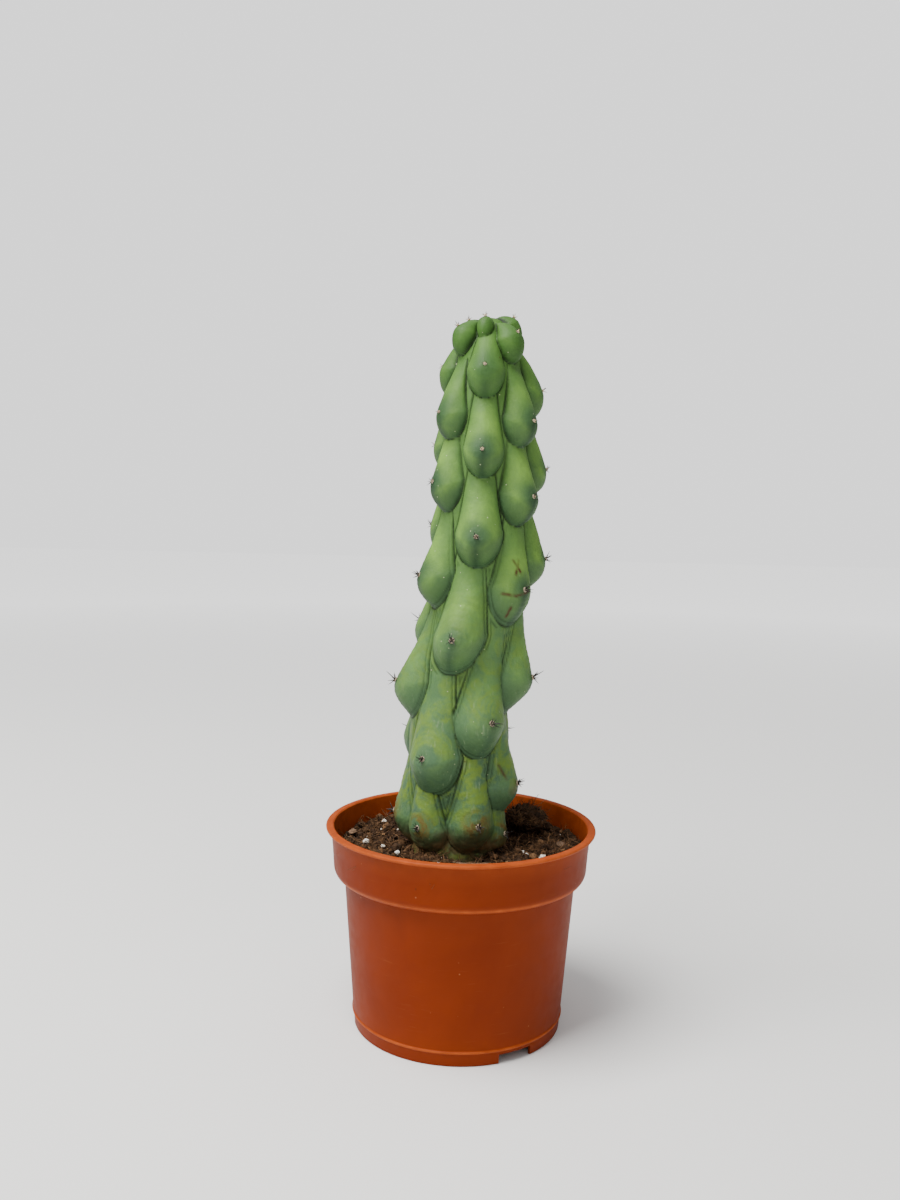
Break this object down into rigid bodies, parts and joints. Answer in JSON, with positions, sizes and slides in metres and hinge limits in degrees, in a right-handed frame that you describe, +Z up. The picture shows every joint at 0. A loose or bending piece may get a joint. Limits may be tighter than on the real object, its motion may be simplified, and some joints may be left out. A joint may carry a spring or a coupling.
{
  "type": "potted tall cactus",
  "caption": "Tall columnar cactus with teardrop tubercles and small spine clusters, rooted in dark potting mix in a thin round nursery pot.",
  "frame": {"origin": "centre of the pot's foot, on the surface that it stands on", "axes": "+Z up along the pot's axis, -Y towards the front, where a gap in the foot ring is a little to the right"},
  "size_m": [0.12, 0.12, 0.3156],
  "materials": {
    "pot_plastic": "satin terracotta-coloured plastic",
    "potting_mix": "loose dark peat and fibre",
    "cactus_skin": "waxy green skin, bluish bloom round the areoles",
    "spine": "cream spines with dark tips on pale felt",
    "perlite": "white porous grains",
    "bark": "rough brown bark"
  },
  "bodies": {
    "root": {"pot": "pot_plastic", "potting_mix": "potting_mix", "soil_clod": "potting_mix", "cactus_stem": "cactus_skin", "spines_01": "spine", "spines_02": "spine", "spines_03": "spine", "spines_04": "spine", "spines_05": "spine", "spines_06": "spine", "spines_07": "spine", "spines_08": "spine", "spines_09": "spine", "spines_10": "spine", "spines_11": "spine", "spines_12": "spine", "spines_13": "spine", "spines_14": "spine", "spines_15": "spine", "spines_16": "spine", "spines_17": "spine", "spines_18": "spine", "spines_19": "spine", "spines_20": "spine", "spines_21": "spine", "spines_22": "spine", "spines_23": "spine", "spines_24": "spine", "spines_25": "spine", "spines_26": "spine", "spines_27": "spine", "spines_28": "spine", "spines_29": "spine", "spines_30": "spine", "spines_31": "spine", "spines_32": "spine", "spines_33": "spine", "spines_34": "spine", "spines_35": "spine", "spines_36": "spine", "spines_37": "spine", "spines_38": "spine", "spines_39": "spine", "spines_40": "spine", "spines_41": "spine", "spines_42": "spine", "spines_43": "spine", "spines_44": "spine", "perlite_1": "perlite", "perlite_2": "perlite", "perlite_3": "perlite", "perlite_4": "perlite", "perlite_5": "perlite", "perlite_6": "perlite", "perlite_7": "perlite", "perlite_8": "perlite", "bark_chip_1": "bark", "bark_chip_2": "bark", "twig": "bark"}
  },
  "joints": []
}
